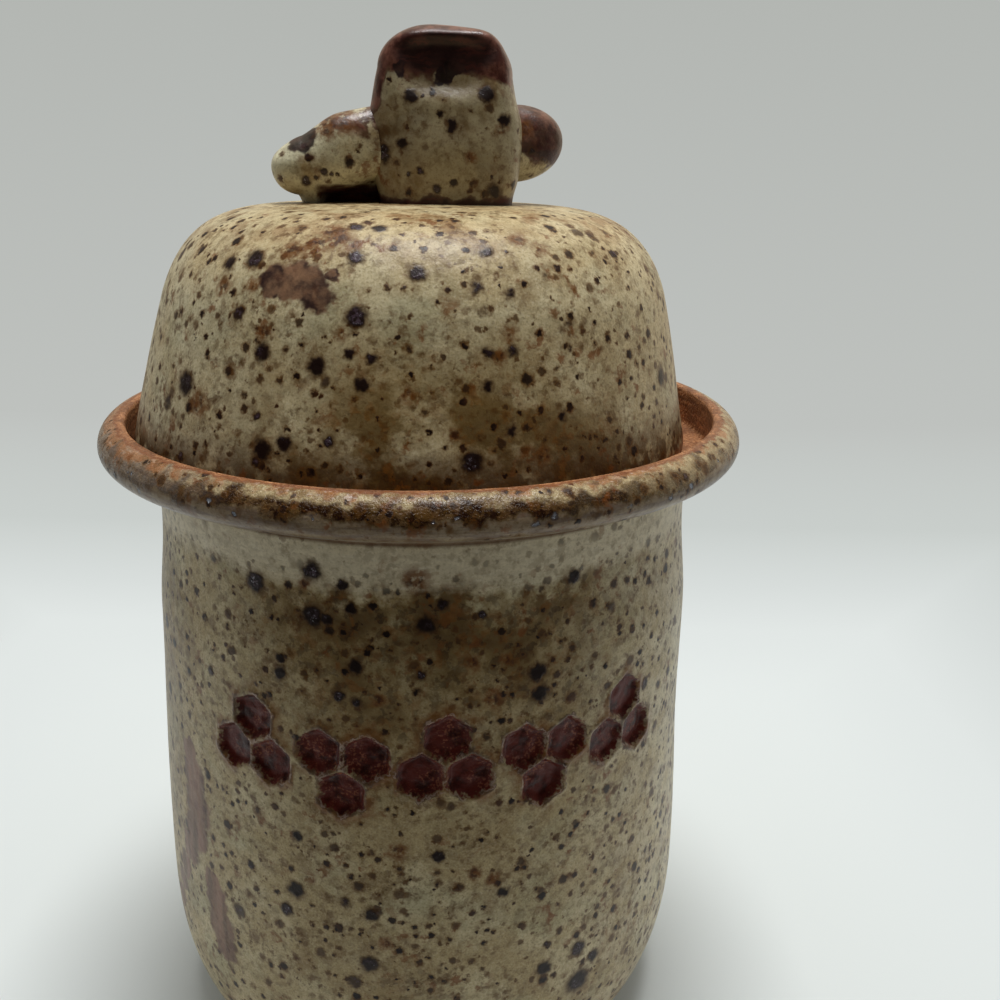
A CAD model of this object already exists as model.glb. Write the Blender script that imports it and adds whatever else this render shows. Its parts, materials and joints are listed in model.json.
"""A thrown stoneware honey pot: speckled jar with a rolled lip, loose domed lid and hand-formed knob.

Sizes are millimetres and angles are degrees; MM turns a finished piece into metres.
Angles round the pot count from its front, -Y, towards +X.
"""

import json
import math

import bpy
from mathutils import Matrix, Vector, noise
from mathutils.geometry import interpolate_bezier

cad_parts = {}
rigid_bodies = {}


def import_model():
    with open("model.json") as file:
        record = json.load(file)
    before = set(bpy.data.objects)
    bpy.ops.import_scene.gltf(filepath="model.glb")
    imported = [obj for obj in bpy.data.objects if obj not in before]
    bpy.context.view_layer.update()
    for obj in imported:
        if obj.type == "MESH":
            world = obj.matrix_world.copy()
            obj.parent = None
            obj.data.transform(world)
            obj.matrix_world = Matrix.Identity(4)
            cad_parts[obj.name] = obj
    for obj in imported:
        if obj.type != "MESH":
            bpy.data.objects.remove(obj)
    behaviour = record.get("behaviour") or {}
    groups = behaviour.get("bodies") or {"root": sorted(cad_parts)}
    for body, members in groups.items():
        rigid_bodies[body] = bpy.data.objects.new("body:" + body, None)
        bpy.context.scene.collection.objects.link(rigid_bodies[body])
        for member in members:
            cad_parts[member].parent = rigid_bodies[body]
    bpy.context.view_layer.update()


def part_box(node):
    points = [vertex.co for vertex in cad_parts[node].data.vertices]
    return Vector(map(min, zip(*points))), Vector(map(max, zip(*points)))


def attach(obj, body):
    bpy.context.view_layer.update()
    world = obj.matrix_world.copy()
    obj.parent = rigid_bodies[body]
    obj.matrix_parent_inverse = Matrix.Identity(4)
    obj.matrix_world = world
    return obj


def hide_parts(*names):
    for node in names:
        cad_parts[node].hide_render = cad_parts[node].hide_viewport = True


MM = 0.001

for leftover in list(bpy.data.objects):
    bpy.data.objects.remove(leftover)
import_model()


def box_mm(node):
    low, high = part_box(node)
    return low / MM, high / MM


_, jar_high = box_mm("jar")
lid_low, lid_high = box_mm("lid")
_, tab_high = box_mm("knob_tab")
jar_height = jar_high.z
lid_axis = (lid_low.x + lid_high.x) / 2
lid_base = lid_low.z
lid_top = lid_high.z

# ---------------------------------------------------------------- stage: floor, backdrop, lamp, camera

CAMERA_PLACE = (14.0, -179.44, 162.19)
CAMERA_PITCH = 18.83  # below level
CAMERA_ROLL = 0.88
CAMERA_LENS = 36.0
SOFTBOX_SIZE = 0.45  # metres
SOFTBOX_PLACE = (0.05, 0.06, 1.2)
SOFTBOX_POWER = 10.6
FLOOR_HALF = 460.0
PAINTED_FROM = (100.0, 160.0)  # the floor is plain lit paper before, and its painted sweep comes after
SWEEP_SHADES = ((152, 192, "#d8dddb"), (192, 262, "#c9cecb"), (262, 452, "#bfc2bf"))  # from, to, colour
FRONT_SHADE = (-70, -130)  # in front of the pot the paper falls into the dark between these
DARK_ROOM = "#1c1b1a"
# The room's light, and what gloss sees of it: (from, to, least, most) along one axis of the direction.
ROOM_LIGHT = (-0.85, 0.25, 0.05, 0.6)
ROOM_GLOSS = (-0.05, 0.7, 0.012, 0.46)
GLOSS_TO_RIGHT = (-0.8, 0.8, 0.7, 1.8)
WALL_RISE = (-0.24, 0.14)
WALL_LOW, WALL_HIGH = "#bfc2bf", "#b3b6b2"


def linear(hex_colour):
    """A colour written as sRGB hex, as the linear RGBA that sockets take."""
    parts = [int(hex_colour[i : i + 2], 16) / 255 for i in (1, 3, 5)]
    return (*(c / 12.92 if c <= 0.04045 else ((c + 0.055) / 1.055) ** 2.4 for c in parts), 1.0)


SMOOTH = {"interpolation_type": "SMOOTHSTEP"}
NOISE_RANGE = (0.3, 0.7)  # most of a noise texture lies between these


def add(tree, kind, inputs=(), out=0, **settings):
    """Adds a node with its settings, fills or links its inputs by number or name, and returns one output.

    A shader node's kind is given without ShaderNode in front, and is followed by its operation if it has one.
    """
    kind, *operation = kind.split()
    made = tree.nodes.new(kind if "Node" in kind else f"ShaderNode{kind}")
    if operation:
        made.operation = operation[0]
    for name, value in settings.items():
        setattr(made, name, value)
    for key, value in inputs.items() if isinstance(inputs, dict) else enumerate(inputs):
        if isinstance(value, bpy.types.NodeSocket):
            tree.links.new(value, made.inputs[key])
        elif value is not None:
            made.inputs[key].default_value = value
    return made if out is None else made.outputs[out]


def new_material(name):
    made = bpy.data.materials.new(name)
    made.use_nodes = True
    made.node_tree.nodes.clear()
    return made


def shown_directly(tree):
    """1 for rays that come from the camera, or by a mirror or through glass, and 0 for light."""
    path = add(tree, "LightPath", out=None).outputs
    seen = add(tree, "Math MAXIMUM", (path["Is Camera Ray"], path["Is Glossy Ray"]))
    return add(tree, "Math MAXIMUM", (seen, path["Is Transmission Ray"]))


def washed(tree, colour, *washes):
    """A colour with others washed over it in turn. A wash is (share, colour), and colours may be hex."""
    colour = linear(colour) if isinstance(colour, str) else colour
    for share, wash in washes:
        wash = linear(wash) if isinstance(wash, str) else wash
        colour = add(tree, "Mix", {0: share, 6: colour, 7: wash}, out=2, data_type="RGBA")
    return colour


def paper_sweep():
    """Matt white paper: plain near the pot, and painted as it rises and falls away behind."""
    made = new_material("matt_white_paper")
    tree = made.node_tree
    place = add(tree, "TexCoord", out="Object")
    away = add(tree, "SeparateXYZ", (add(tree, "VectorMath ABSOLUTE", (place,)),), out=None).outputs
    reach = add(tree, "Math MAXIMUM", (away["X"], away["Y"]))
    shades = [
        (add(tree, "MapRange", (reach, start * MM, end * MM)), shade)
        for start, end, shade in SWEEP_SHADES
    ]
    # In front of the pot the room is dark, so that side's light and gloss are dim. The lens still sees paper.
    along = add(tree, "SeparateXYZ", (place,), out="Y")
    in_front = add(tree, "MapRange", (along, *(edge * MM for edge in FRONT_SHADE)))
    path = add(tree, "LightPath", out=None).outputs
    dim, dark = (
        add(tree, "Math MULTIPLY", (in_front, path[ray])) for ray in ("Is Diffuse Ray", "Is Glossy Ray")
    )
    paper = washed(tree, "#dbe0de", (dim, "#a2a4a0"), (dark, DARK_ROOM))
    paper = add(tree, "BsdfDiffuse", (paper,))
    sweep = add(tree, "Emission", (washed(tree, "#e2e7e5", *shades, (dark, DARK_ROOM)),))
    far = add(tree, "MapRange", (reach, *(edge * MM for edge in PAINTED_FROM)), **SMOOTH)
    painted = add(tree, "Math MULTIPLY", (far, shown_directly(tree)))
    sheet = add(tree, "MixShader", (painted, paper, sweep))
    below = add(tree, "NewGeometry", out="Backfacing")
    sheet = add(tree, "MixShader", (below, sheet, add(tree, "BsdfTransparent")))
    add(tree, "OutputMaterial", (sheet,), out=None)
    return made


def lay_paper():
    half = FLOOR_HALF * MM
    mesh = bpy.data.meshes.new("paper")
    mesh.from_pydata(
        [(-half, -half, 0), (half, -half, 0), (half, half, 0), (-half, half, 0)], [], [(0, 1, 2, 3)]
    )
    mesh.materials.append(paper_sweep())
    paper = bpy.data.objects.new("paper", mesh)
    bpy.context.collection.objects.link(paper)


def light_room():
    """A room that is white at the back and the sides and darker towards the front."""
    room = bpy.data.worlds.new("white_room")
    bpy.context.scene.world = room
    room.use_nodes = True
    tree = room.node_tree
    tree.nodes.clear()
    towards = add(tree, "TexCoord", out="Generated")
    across, along, upward = add(tree, "SeparateXYZ", (towards,), out=None).outputs
    path = add(tree, "LightPath", out=None).outputs
    glossy = path["Is Glossy Ray"]
    # Gloss sees a dark room in front of the pot and a dull one behind it.
    light = add(tree, "MapRange", (along, *ROOM_LIGHT), **SMOOTH)
    mirrored = add(tree, "MapRange", (along, *ROOM_GLOSS), **SMOOTH)
    leaning = add(tree, "MapRange", (across, *GLOSS_TO_RIGHT))
    mirrored = add(tree, "Math MULTIPLY", (mirrored, leaning))
    light = add(tree, "Mix", {0: glossy, 2: light, 3: mirrored})
    lit = add(tree, "Background", (washed(tree, "#fcfdfd", (glossy, "#f6ead4")), light))
    rise = add(tree, "MapRange", (upward, *WALL_RISE))
    seen = add(tree, "Background", (washed(tree, WALL_LOW, (rise, WALL_HIGH)), 1.0))
    room_light = add(tree, "MixShader", (path["Is Camera Ray"], lit, seen))
    add(tree, "OutputWorld", (room_light,), out=None)


def hang_softbox():
    lamp = bpy.data.lights.new("softbox", "AREA")
    lamp.shape = "SQUARE"
    lamp.size = SOFTBOX_SIZE
    lamp.energy = SOFTBOX_POWER
    softbox = bpy.data.objects.new("softbox", lamp)
    softbox.location = SOFTBOX_PLACE
    bpy.context.collection.objects.link(softbox)


def set_camera():
    lens = bpy.data.cameras.new("camera")
    lens.sensor_width = 36
    lens.lens = CAMERA_LENS
    lens.clip_start = 0.01
    camera = bpy.data.objects.new("camera", lens)
    tilt = Matrix.Rotation(math.radians(90 - CAMERA_PITCH), 4, "X")
    roll = Matrix.Rotation(math.radians(CAMERA_ROLL), 4, "Z")
    camera.matrix_world = Matrix.Translation(Vector(CAMERA_PLACE) * MM) @ tilt @ roll
    bpy.context.collection.objects.link(camera)
    bpy.context.scene.camera = camera


bpy.context.scene.view_settings.view_transform = "Standard"
lay_paper()
light_room()
hang_softbox()
set_camera()

# ---------------------------------------------------------------- sections of the turned pieces


class Section:
    """Half a section through a turned piece, drawn so that the clay stays on its left-hand side.

    Points are (radius, height). Each point keeps how far it lies inside the glaze, measured along
    the surface from the nearest line where the glaze stops. Outside the glaze that is negative.
    """

    def __init__(self, start, glazed):
        self.points = [Vector(start)]
        self.along = [0.0]
        self.stops = []
        self.glazed_first = glazed

    def _go(self, points):
        for point in points:
            self.along.append(self.along[-1] + (point - self.points[-1]).length)
            self.points.append(point)

    def line(self, end, step):
        start, end = self.points[-1], Vector(end)
        count = max(1, round((end - start).length / step))
        self._go(start.lerp(end, i / count) for i in range(1, count + 1))

    def bend(self, lead_out, lead_in, end, step):
        start, end = self.points[-1], Vector(end)
        handles = (start + Vector(lead_out), end + Vector(lead_in))
        count = max(2, round(((end - start).length) * 1.08 / step))
        flat = interpolate_bezier(start, *handles, end, count + 1)
        self._go(Vector(point[:2]) for point in flat[1:])

    def arc(self, centre, radii, start, end, step):
        size = (radii[0] + radii[1]) / 2
        count = max(2, round(math.radians(abs(end - start)) * size / step))
        for i in range(1, count + 1):
            turn = math.radians(start + (end - start) * i / count)
            self._go([Vector((centre[0] + radii[0] * math.cos(turn), centre[1] + radii[1] * math.sin(turn)))])

    def glaze_stops(self):
        """The glaze starts or stops at the point that was drawn last."""
        self.stops.append(self.along[-1])

    def depth_in_glaze(self):
        depths = []
        for length in self.along:
            passed = sum(stop <= length for stop in self.stops)
            nearest = min(abs(stop - length) for stop in self.stops)
            depths.append(nearest if (passed % 2 == 0) == self.glazed_first else -nearest)
        return depths

    def radius_at(self, height):
        """Radius of the outside at a height."""
        pairs = zip(self.points, self.points[1:])
        crossings = [
            a.lerp(b, (height - a.y) / (b.y - a.y)).x
            for a, b in pairs
            if min(a.y, b.y) <= height <= max(a.y, b.y) and abs(b.y - a.y) > 1e-6
        ]
        return max(crossings)


# Jar, from the middle of its foot. The wall is 4.8 thick, and the lip rolls out over a sharp crease.
FOOT_RADIUS = 37.0
FOOT_RECESS = 2.0
BELLY = (50.87, 30.0)
STAMP_ROWS = (62.5, 86.5)  # closer rows where the stamps are pressed in
WAIST = (47.6, 104.0)
CREASE = (48.2, 110.8)
LIP_MIDDLE = (52.75, 116.0)
LIP_ROLL = 3.85  # how far it rolls outwards
LIP_DROP = 3.05  # how far it rolls down
LIP_START = 52  # how far under its middle the roll starts
GLAZE_LINE = 84  # how far round the roll the glaze is wiped off
SEAT_RADIUS = 51.8
LEDGE_HEIGHT = 113.0
MOUTH_RADIUS = 43.1
FLOOR_HEIGHT = 8.0
RING_COUNT = 8
RING_DEPTH = 0.4
RINGS_REACH = 84.0  # how far down the inside they go
FINE_STEP = 0.46
WALL_STEP = 1.5
INSIDE_STEP = 2.0

jar_section = Section((0.0, FOOT_RECESS), glazed=False)
jar_section.line((FOOT_RADIUS - 6, FOOT_RECESS), 3.0)
jar_section.line((FOOT_RADIUS - 5, 0.25), 1.0)
jar_section.line((FOOT_RADIUS - 4.6, 0.0), 0.5)
jar_section.line((FOOT_RADIUS - 0.4, 0.0), 1.4)
jar_section.line((FOOT_RADIUS + 1.2, 1.2), 0.8)
jar_section.glaze_stops()
jar_section.bend((8.8, 3.0), (0.0, -14.5), BELLY, WALL_STEP * 0.8)
jar_section.bend((0.0, 9.0), (0.4, -10.0), (49.74, STAMP_ROWS[0]), WALL_STEP)
jar_section.line((48.95, STAMP_ROWS[1]), FINE_STEP)
jar_section.bend((-0.27, 6.5), (0.0, -7.0), WAIST, WALL_STEP)
jar_section.line((CREASE[0] - 0.4, CREASE[1] - 1.0), 1.2)
jar_section.bend((0.1, 0.9), (-0.6, -0.3), CREASE, 0.3)
low = math.radians(LIP_START)
lip_under = (LIP_MIDDLE[0] + LIP_ROLL * math.cos(low), LIP_MIDDLE[1] - LIP_DROP * math.sin(low))
jar_section.bend((1.6, 0.7), (-1.1, -0.62), lip_under, 0.5)
jar_section.arc(LIP_MIDDLE, (LIP_ROLL, LIP_DROP), -LIP_START, 0, 0.45)
jar_section.arc(LIP_MIDDLE, (LIP_ROLL, jar_height - LIP_MIDDLE[1]), 0, GLAZE_LINE, 0.42)
jar_section.glaze_stops()
jar_section.arc(LIP_MIDDLE, (LIP_ROLL, jar_height - LIP_MIDDLE[1]), GLAZE_LINE, 90, 0.42)
jar_section.arc((52.6, jar_height - 0.7), (0.76, 0.7), 90, 180, 0.3)
jar_section.line((SEAT_RADIUS + 0.04, LEDGE_HEIGHT + 0.8), 0.75)
jar_section.arc((SEAT_RADIUS - 0.76, LEDGE_HEIGHT + 0.8), (0.8, 0.8), 0, -90, 0.4)
jar_section.line((MOUTH_RADIUS + 1.4, LEDGE_HEIGHT), 1.0)
jar_section.glaze_stops()
jar_section.arc((MOUTH_RADIUS + 1.4, LEDGE_HEIGHT - 1.4), (1.4, 1.4), 90, 180, 0.5)
jar_section.line((MOUTH_RADIUS, 101.0), INSIDE_STEP)
ring_top = len(jar_section.points)
jar_section.bend((0.0, -22.0), (0.0, 24.0), (46.0, 36.0), INSIDE_STEP)
jar_section.bend((0.0, -17.0), (9.5, 0.4), (33.0, FLOOR_HEIGHT), INSIDE_STEP)
for k in range(ring_top, len(jar_section.points)):
    depth_down = (jar_section.along[k] - jar_section.along[ring_top]) / RINGS_REACH
    if depth_down < 1:
        jar_section.points[k].x += RING_DEPTH * abs(math.sin(math.pi * RING_COUNT * depth_down))
jar_section.line((0.0, FLOOR_HEIGHT), 3.0)

# Lid, from under its crown. Its wall is 5 thick and its lower edge is rounded and bare.
LID_WALL = 5.0
LID_EDGE_RADIUS = (lid_high.x - lid_low.x) / 2
SHOULDER = (42.2, lid_base + 27.7)
EDGE_ROUND = 1.2
LID_STEP = 1.05

lid_section = Section((0.0, lid_top - LID_WALL), glazed=True)
lid_section.bend((-0.1, 0.0), (-6.0, 0.25), (20.0, lid_top - LID_WALL - 0.35), 3.0)
lid_section.bend((9.0, -0.45), (-2.7, 7.4), (SHOULDER[0] - LID_WALL, SHOULDER[1]), 2.0)
lid_section.bend((3.2, -9.0), (-2.1, 9.0), (LID_EDGE_RADIUS - LID_WALL - 0.2, lid_base + 3.5), 2.0)
lid_section.glaze_stops()
lid_section.line((LID_EDGE_RADIUS - LID_WALL, lid_base + EDGE_ROUND), 0.8)
lid_section.arc(
    (LID_EDGE_RADIUS - LID_WALL + EDGE_ROUND, lid_base + EDGE_ROUND), (EDGE_ROUND,) * 2, 180, 270, 0.5
)
lid_section.line((LID_EDGE_RADIUS - EDGE_ROUND - 0.3, lid_base), 0.8)
lid_section.arc((LID_EDGE_RADIUS - EDGE_ROUND - 0.28, lid_base + EDGE_ROUND), (EDGE_ROUND,) * 2, -90, -5, 0.4)
lid_section.line((49.0, lid_base + 2.2), 0.5)
lid_section.glaze_stops()
lid_section.bend((-1.5, 8.4), (2.7, -8.6), SHOULDER, LID_STEP)
lid_section.bend((-3.93, 10.6), (9.14, -0.58), (23.0, lid_top - 0.38), LID_STEP * 0.8)
lid_section.bend((-7.0, 0.36), (6.0, 0.0), (0.0, lid_top), 1.8)

# ---------------------------------------------------------------- geometry trees


def tree_with_inputs(name, sizes):
    """A geometry tree with a named input for each size, and the sockets that bring them in."""
    tree = bpy.data.node_groups.new(name, "GeometryNodeTree")
    tree.interface.new_socket("Geometry", in_out="INPUT", socket_type="NodeSocketGeometry")
    tree.interface.new_socket("Geometry", in_out="OUTPUT", socket_type="NodeSocketGeometry")
    for size, value in sizes.items():
        kind = "NodeSocketInt" if isinstance(value, int) else "NodeSocketFloat"
        tree.interface.new_socket(size, in_out="INPUT", socket_type=kind).default_value = value
    tree.interface.new_socket("Glaze", in_out="INPUT", socket_type="NodeSocketMaterial")
    return tree, add(tree, "NodeGroupInput", out=None).outputs


def close_tree(tree, geometry, given):
    """Ends a tree with real mesh, smooth faces and the glaze, and returns the tree."""
    geometry = add(tree, "GeometryNodeSetShadeSmooth", {"Geometry": geometry})
    geometry = add(tree, "GeometryNodeRealizeInstances", {"Geometry": geometry})
    geometry = add(tree, "GeometryNodeSetMaterial", {"Geometry": geometry, "Material": given["Glaze"]})
    add(tree, "NodeGroupOutput", (geometry,), out=None)
    return tree


SHELL_WELD = 0.004  # closes the grid's seam, and its ends on the axis
SEED_STRIDE = 37.0  # how far one seed's noise lies from the next one's
AXIS_FADE = 20.0  # the unevenness dies out from this radius inwards
STEADY_FADE = 14.0  # how far from the steady heights the unevenness comes back
FINGER_BANDS = (0.012, 0.012, 0.16)  # finger lines run round the pot
BELLY_FADE = (90.0, 45.0)  # heights between which the belly's shift sets in


def turned_shell_tree():
    """Turns a section round its axis, with the slight unevenness of a pot thrown by hand.

    A grid has a row for each point of the section and a column for each step round the axis.
    Columns lie closer together over the front, where the stamps are.
    """
    tree, given = tree_with_inputs(
        "turned_shell",
        {
            "Columns": 340,
            "Front Columns": 0.6,  # share of the columns over the front
            "Front Middle": 7.5,
            "Front Span": 106.0,
            "Axis X": 0.0,
            "Oval": 0.25,
            "Oval Turn": 30.0,
            "Wobble": 0.3,
            "Wobble Size": 45.0,
            "Finger Lines": 0.07,
            "Lean": 0.0,  # sideways shift of the belly
            "Bulge": 0.0,  # one side is fuller towards the top
            "Bulge Turn": 90.0,
            "Bulge From": 118.0,
            "Bulge To": 148.0,
            "Steady Below": -100.0,
            "Steady Above": 1000.0,
            "Seed": 1,
        },
    )
    rows = add(tree, "GeometryNodeAttributeDomainSize", {"Geometry": given["Geometry"]}, out="Point Count")
    stations = add(tree, "Math ADD", (given["Columns"], 1.0))
    grid = add(tree, "GeometryNodeMeshGrid", {"Vertices X": stations, "Vertices Y": rows})
    index = add(tree, "GeometryNodeInputIndex")
    row = add(tree, "Math MODULO", (index, rows))
    column = add(tree, "Math FLOOR", (add(tree, "Math DIVIDE", (index, rows)),))
    share = add(tree, "Math DIVIDE", (column, given["Columns"]))
    half_span = add(tree, "Math MULTIPLY", (given["Front Span"], 0.5))
    minus_half = add(tree, "Math MULTIPLY", (half_span, -1.0))
    back_end = add(tree, "Math SUBTRACT", (360.0, half_span))
    front = add(tree, "MapRange", (share, 0.0, given["Front Columns"], minus_half, half_span))
    back = add(tree, "MapRange", (share, given["Front Columns"], 1.0, half_span, back_end))
    at_back = add(tree, "Math GREATER_THAN", (share, given["Front Columns"]))
    turn = add(tree, "Mix", {0: at_back, 2: front, 3: back})
    turn = add(tree, "Math ADD", (turn, given["Front Middle"]))
    radians = add(tree, "Math RADIANS", (turn,))

    section_place = add(tree, "GeometryNodeInputPosition")
    section_depth = add(tree, "GeometryNodeInputNamedAttribute", {"Name": "glaze_depth"})
    sample = {"Geometry": given["Geometry"], "Index": row}
    sampled, glaze_depth = (
        add(tree, "GeometryNodeSampleIndex", {**sample, "Value": value}, data_type=data_type)
        for value, data_type in ((section_place, "FLOAT_VECTOR"), (section_depth, "FLOAT"))
    )
    radius, _, height = add(tree, "SeparateXYZ", (sampled,), out=None).outputs
    sine = add(tree, "Math SINE", (radians,))
    cosine = add(tree, "Math COSINE", (radians,))
    outward = add(tree, "CombineXYZ", (sine, add(tree, "Math MULTIPLY", (cosine, -1.0)), 0.0))
    flat = add(tree, "VectorMath SCALE", {0: outward, "Scale": radius})
    round_place = add(tree, "VectorMath ADD", (flat, add(tree, "CombineXYZ", (0.0, 0.0, height))))

    # Unevenness, which fades towards the surfaces that fit the other piece and towards the axis.
    seed_shift = add(tree, "Math MULTIPLY", (given["Seed"], SEED_STRIDE))
    wobble_scale = add(tree, "Math DIVIDE", (1.0, given["Wobble Size"]))
    banded = add(tree, "VectorMath MULTIPLY", (round_place, FINGER_BANDS))
    push = add(tree, "Math SUBTRACT", (turn, given["Oval Turn"]))
    push = add(tree, "Math MULTIPLY", (push, math.radians(2)))
    push = add(tree, "Math COSINE", (push,))
    push = add(tree, "Math MULTIPLY", (push, given["Oval"]))
    for where, scale, detail, amount in (
        (round_place, wobble_scale, 1.0, given["Wobble"]),
        (banded, 1.0, 1.5, given["Finger Lines"]),
    ):
        cloud = {"Vector": where, "W": seed_shift, "Scale": scale, "Detail": detail}
        cloud = add(tree, "TexNoise", cloud, noise_dimensions="4D")
        cloud = add(tree, "Math ADD", (cloud, -0.5))
        cloud = add(tree, "Math MULTIPLY", (cloud, amount))
        push = add(tree, "Math ADD", (push, cloud))
    above = add(tree, "Math ADD", (given["Steady Above"], -STEADY_FADE))
    below = add(tree, "Math ADD", (given["Steady Below"], STEADY_FADE))
    free_up = add(tree, "MapRange", (height, above, given["Steady Above"], 1.0, 0.0))
    free_down = add(tree, "MapRange", (height, given["Steady Below"], below))
    off_axis = add(tree, "MapRange", (radius, 0.0, AXIS_FADE))
    push = overlap(tree, push, overlap(tree, free_up, free_down, off_axis))
    side = add(tree, "Math SUBTRACT", (turn, given["Bulge Turn"]))
    side = add(tree, "Math RADIANS", (side,))
    side = add(tree, "Math COSINE", (side,))
    side = add(tree, "Math MAXIMUM", (side, 0.0))
    rise = (height, given["Bulge From"], given["Bulge To"], 0.0, given["Bulge"])
    bulge = overlap(tree, side, add(tree, "MapRange", rise, **SMOOTH), off_axis)
    place = round_place
    for amount in (push, bulge):
        shove = add(tree, "VectorMath SCALE", {0: outward, "Scale": amount})
        place = add(tree, "VectorMath ADD", (place, shove))
    belly = add(tree, "MapRange", (height, *BELLY_FADE), **SMOOTH)
    sway = add(tree, "Math MULTIPLY", (given["Lean"], belly))
    sway = add(tree, "Math ADD", (sway, given["Axis X"]))
    place = add(tree, "VectorMath ADD", (place, add(tree, "CombineXYZ", (sway, 0.0, 0.0))))

    shell = add(tree, "GeometryNodeSetPosition", {"Geometry": grid, "Position": place})
    kept = {"Geometry": shell, "Name": "glaze_depth", "Value": glaze_depth}
    shell = add(tree, "GeometryNodeStoreNamedAttribute", kept)
    shell = add(tree, "GeometryNodeMergeByDistance", {"Geometry": shell, "Distance": SHELL_WELD})
    return close_tree(tree, shell, given)


# How the clay and the glaze soften a stamp, in millimetres from the edge of a cell.
STAMP_WANDER = 0.75
CELL_ROUNDING = 0.7
STAMP_WALL = (0.32, -0.62)
STAMP_FLOOR = 0.12  # how uneven its floor is
STAMP_DRAWS = (5.0, 0.9, 0.045, 0.03)  # most skew in degrees, most shift, and most tilt in x and y
WALL_BEHIND = 3.0  # what lies deeper than this is the inside of the wall
FAR_AWAY = 50.0  # so far from a stamp nothing is pressed
BURR_MIDDLE = 0.52
BURR_REACH = 0.75


def comb_stamps_tree():
    """Presses a row of three-cell honeycomb stamps into the jar's front, softened as glaze softens them."""
    tree, given = tree_with_inputs(
        "comb_stamps",
        {
            "Stamps": 5,
            "Pitch": 18.6,
            "Row Middle": 7.5,
            "Height": 74.5,
            "Wall Radius": 49.3,
            "Cell Width": 6.7,
            "Web": 1.0,
            "Depth": 1.0,
            "Burr": 0.22,
            "Unevenness": 1.0,
            "Seed": 3,
        },
    )
    place = add(tree, "GeometryNodeInputPosition")
    x, y, z = add(tree, "SeparateXYZ", (place,), out=None).outputs
    turn = add(tree, "Math ARCTAN2", (x, add(tree, "Math MULTIPLY", (y, -1.0))))
    turn = add(tree, "Math DEGREES", (turn,))
    radius = add(tree, "VectorMath LENGTH", (add(tree, "CombineXYZ", (x, y, 0.0)),), out="Value")

    # Which stamp is nearest, counted from the row's -X end.
    off_middle = add(tree, "Math SUBTRACT", (turn, given["Row Middle"]))
    steps = add(tree, "Math DIVIDE", (off_middle, given["Pitch"]))
    last = add(tree, "Math ADD", (given["Stamps"], -1.0))
    half_row = add(tree, "Math MULTIPLY", (last, 0.5))
    number = add(tree, "Math ROUND", (add(tree, "Math ADD", (steps, half_row)),))
    number = add(tree, "Clamp", (number, 0.0, last))
    stamp_turn = add(tree, "Math SUBTRACT", (number, half_row))
    stamp_turn = add(tree, "Math MULTIPLY", (stamp_turn, given["Pitch"]))

    # Each stamp is pressed a little askew, and deeper on one side.
    draws = []
    for offset, most in enumerate(STAMP_DRAWS):
        seed = add(tree, "Math ADD", (given["Seed"], float(offset)))
        drawn = add(tree, "FunctionNodeRandomValue", {2: -most, 3: most, 7: number, 8: seed}, out=1)
        draws.append(add(tree, "Math MULTIPLY", (drawn, given["Unevenness"])))
    skew, shift, tip_x, tip_y = draws
    angle = add(tree, "Math SUBTRACT", (off_middle, stamp_turn))
    angle = add(tree, "Math RADIANS", (angle,))
    across = add(tree, "Math MULTIPLY", (angle, given["Wall Radius"]))
    upward = add(tree, "Math SUBTRACT", (z, given["Height"]))
    upward = add(tree, "Math SUBTRACT", (upward, shift))
    flat = add(tree, "CombineXYZ", (across, upward, 0.0))
    askew = {"Vector": flat, "Axis": (0.0, 0.0, 1.0), "Angle": add(tree, "Math RADIANS", (skew,))}
    flat = add(tree, "VectorRotate", askew)
    wander = add(tree, "TexNoise", {"Vector": place, "Scale": 0.45, "Detail": 2.0}, out="Color")
    wander = add(tree, "VectorMath SUBTRACT", (wander, (0.5, 0.5, 0.5)))
    wander = add(tree, "VectorMath SCALE", {0: wander, "Scale": STAMP_WANDER})
    flat = add(tree, "VectorMath ADD", (flat, wander))
    odd = add(tree, "Math MODULO", (number, 2.0))
    flip = add(tree, "MapRange", (odd, 0.0, 1.0, 1.0, -1.0))
    across, upward, _ = add(tree, "SeparateXYZ", (flat,), out=None).outputs
    flat = add(tree, "CombineXYZ", (across, add(tree, "Math MULTIPLY", (upward, flip)), 0.0))

    # Distance to the nearest of the three hexagonal cells, negative inside a cell.
    pitch = add(tree, "Math ADD", (given["Cell Width"], given["Web"]))
    reach = add(tree, "Math DIVIDE", (pitch, math.sqrt(3)))
    half_cell = add(tree, "Math MULTIPLY", (given["Cell Width"], 0.5))
    nearest = None
    for cell_turn in (90, 210, 330):
        direction = (math.cos(math.radians(cell_turn)), math.sin(math.radians(cell_turn)), 0.0)
        centre = add(tree, "VectorMath SCALE", {0: direction, "Scale": reach})
        folded = add(tree, "VectorMath SUBTRACT", (flat, centre))
        folded = add(tree, "VectorMath ABSOLUTE", (folded,))
        side = add(tree, "SeparateXYZ", (folded,))
        slope = add(tree, "VectorMath DOT_PRODUCT", (folded, (0.5, math.sqrt(0.75), 0.0)), out="Value")
        cell = add(tree, "Math SMOOTH_MAX", (side, slope, CELL_ROUNDING))
        cell = add(tree, "Math SUBTRACT", (cell, half_cell))
        nearest = cell if nearest is None else add(tree, "Math MINIMUM", (nearest, cell))

    # Only the outside wall is pressed: the inside lies a wall's thickness further in.
    inner = add(tree, "Math ADD", (given["Wall Radius"], -WALL_BEHIND))
    on_wall = add(tree, "Math GREATER_THAN", (radius, inner))
    far = add(tree, "MapRange", (on_wall, 0.0, 1.0, FAR_AWAY, 0.0))
    comb = add(tree, "Math ADD", (nearest, far))

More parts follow.
